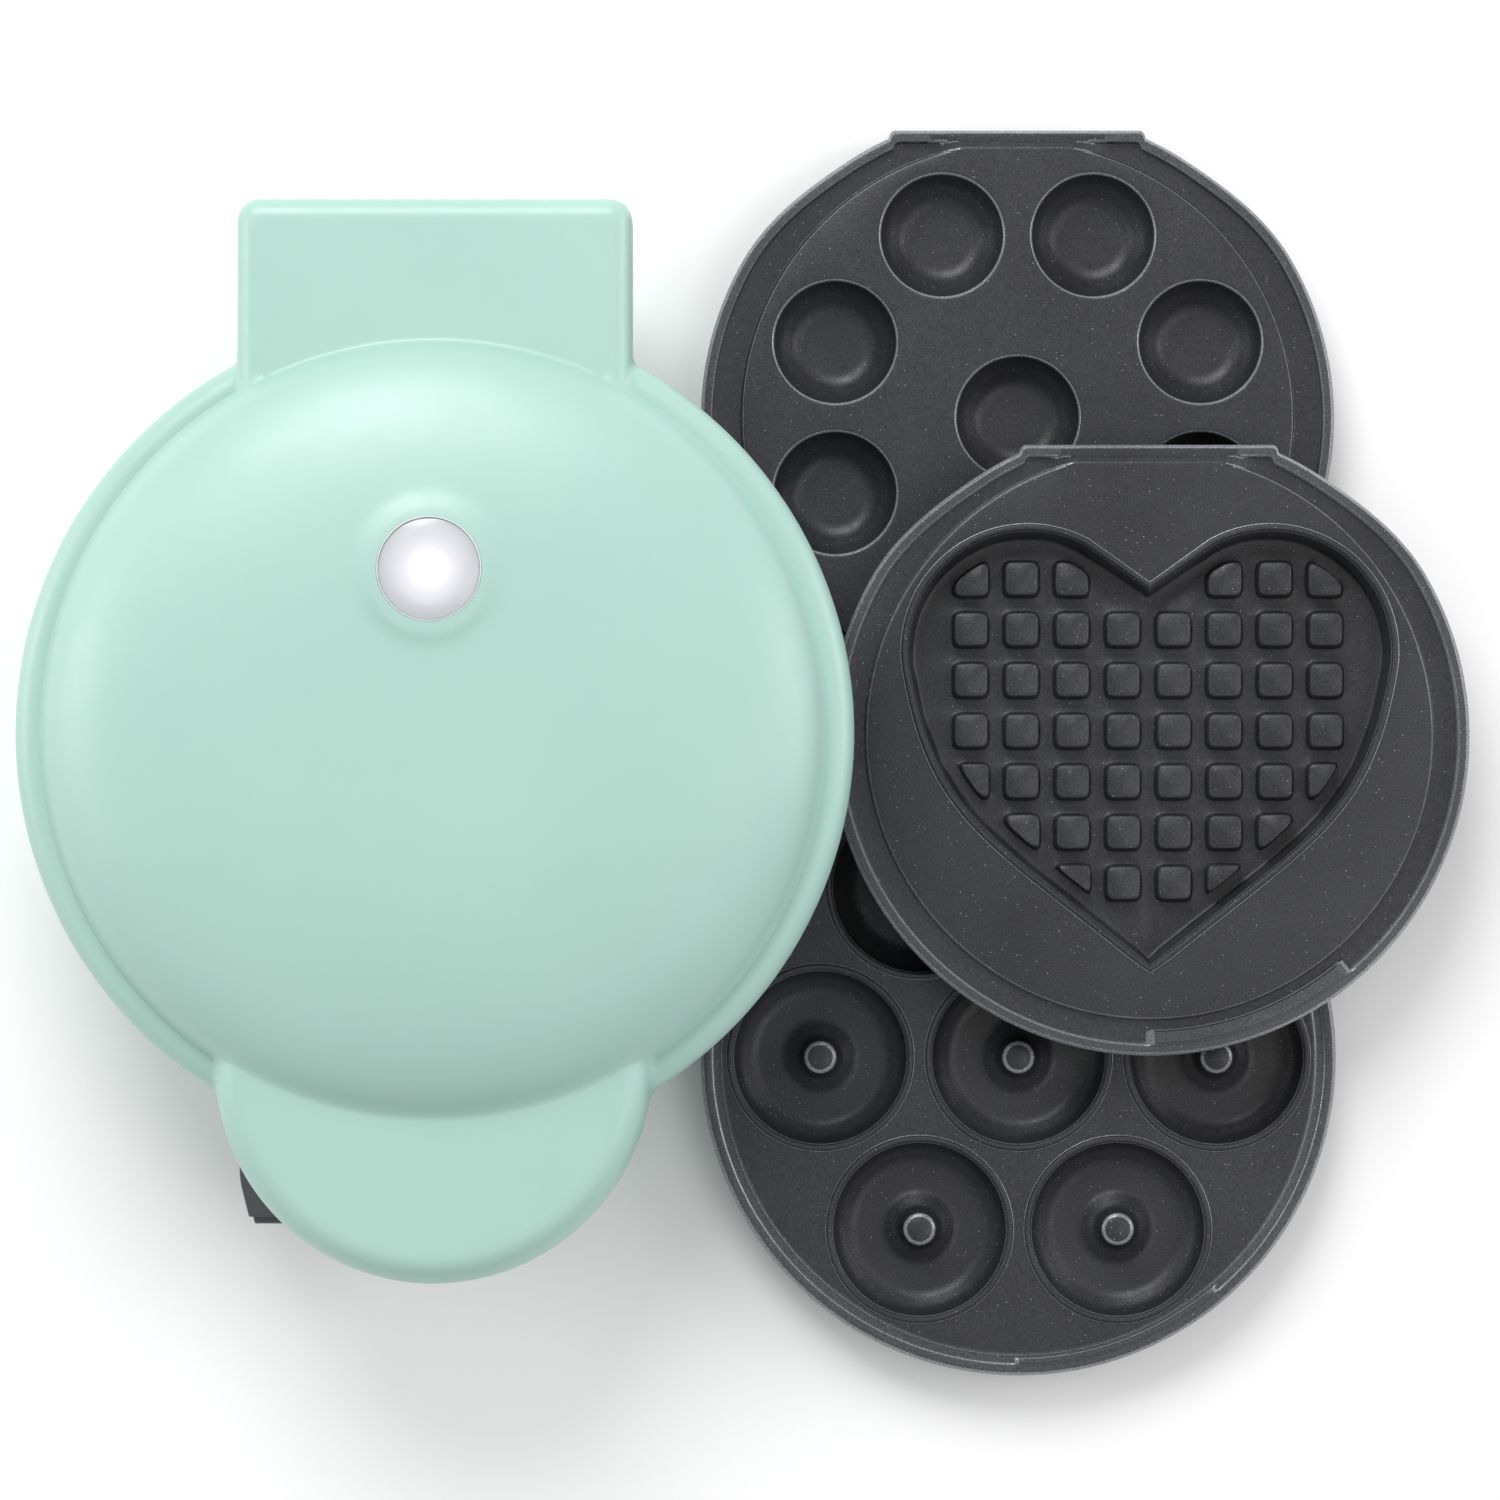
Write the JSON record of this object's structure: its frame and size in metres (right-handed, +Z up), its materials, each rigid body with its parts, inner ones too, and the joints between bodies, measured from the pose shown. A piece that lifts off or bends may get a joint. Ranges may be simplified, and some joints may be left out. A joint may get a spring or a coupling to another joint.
{
  "type": "donut maker",
  "caption": "Round countertop donut maker with hinged domed lid, front handle, side latch and interchangeable donut, cake-bite and heart waffle plates.",
  "frame": {"origin": "on the table, under the middle of the whole layout's bounding box", "axes": "+X to the right, from the machine to the loose plates; +Y towards the hinge; +Z up"},
  "size_m": [0.3678, 0.321, 0.0879],
  "materials": {
    "mint_plastic": "satin moulded plastic, pale mint green",
    "dark_plastic": "fine matt grain, charcoal",
    "grey_plastic": "satin, dark grey",
    "nonstick_coating": "speckled matt non-stick coating on cast aluminium",
    "aluminium": "pressed sheet, satin",
    "steel": "plated",
    "rubber": "matt",
    "white_lens": "translucent white, gloss",
    "white_plastic": "moulded"
  },
  "bodies": {
    "base": {"base_heat_shield": "aluminium", "base_liner": "dark_plastic", "base_screw_front_left": "steel", "base_screw_front_right": "steel", "base_screw_rear_left": "steel", "base_screw_rear_right": "steel", "base_shell": "mint_plastic", "block_screw_left": "steel", "block_screw_right": "steel", "cord_gland": "dark_plastic", "foot_front_left": "rubber", "foot_front_right": "rubber", "foot_rear_left": "rubber", "foot_rear_right": "rubber", "hinge_bracket": "dark_plastic", "hinge_pin_left": "steel", "hinge_pin_right": "steel", "latch_pin": "steel", "lower_donut_plate": "nonstick_coating", "lower_heating_element": "steel", "rear_cover": "dark_plastic", "terminal_block": "white_plastic", "thermal_fuse": "aluminium", "thermostat": "aluminium"},
    "lid": {"lid_shell": "mint_plastic", "lid_liner": "dark_plastic", "lid_heat_shield": "aluminium", "upper_heating_element": "steel", "upper_donut_plate": "nonstick_coating", "lamp_lens": "white_lens", "lamp_holder": "white_plastic", "indicator_lamp": "white_lens", "lid_catch_stem": "steel", "lid_catch_head": "steel", "lid_catch_nut": "steel"},
    "latch": {"latch_lever": "grey_plastic"},
    "lower_release": {"lower_release": "grey_plastic"},
    "upper_release": {"upper_release": "grey_plastic"},
    "heart_plate": {"heart_waffle_plate": "nonstick_coating"},
    "cake_plate": {"cake_bite_plate": "nonstick_coating"},
    "spare_plate": {"spare_donut_plate": "nonstick_coating"}
  },
  "joints": [
    {"name": "lid_hinge", "type": "hinge", "parent": "base", "child": "lid", "pos_m": [-0.0789, 0.1307, 0.046], "axis": [-1, 0, 0], "range_deg": [0, 98]},
    {"name": "latch_swing", "type": "hinge", "parent": "base", "child": "latch", "pos_m": [-0.0989, -0.1103, 0.0272], "axis": [0, 0, -1], "range_deg": [0, 18]},
    {"name": "lower_release_slide", "type": "slide", "parent": "base", "child": "lower_release", "axis": [0.6428, -0.766, 0], "range_m": [0, 0.003], "stiffness_N_per_m": 300},
    {"name": "upper_release_slide", "type": "slide", "parent": "lid", "child": "upper_release", "axis": [0.6428, -0.766, 0], "range_m": [0, 0.003], "stiffness_N_per_m": 300},
    {"name": "heart_plate_pull", "type": "slide", "parent": "base", "child": "heart_plate", "axis": [1, 0, 0], "range_m": [0, 0.15]},
    {"name": "cake_plate_pull", "type": "slide", "parent": "base", "child": "cake_plate", "axis": [0, 1, 0], "range_m": [0, 0.15]},
    {"name": "spare_plate_pull", "type": "slide", "parent": "base", "child": "spare_plate", "axis": [0, -1, 0], "range_m": [0, 0.15]}
  ]
}
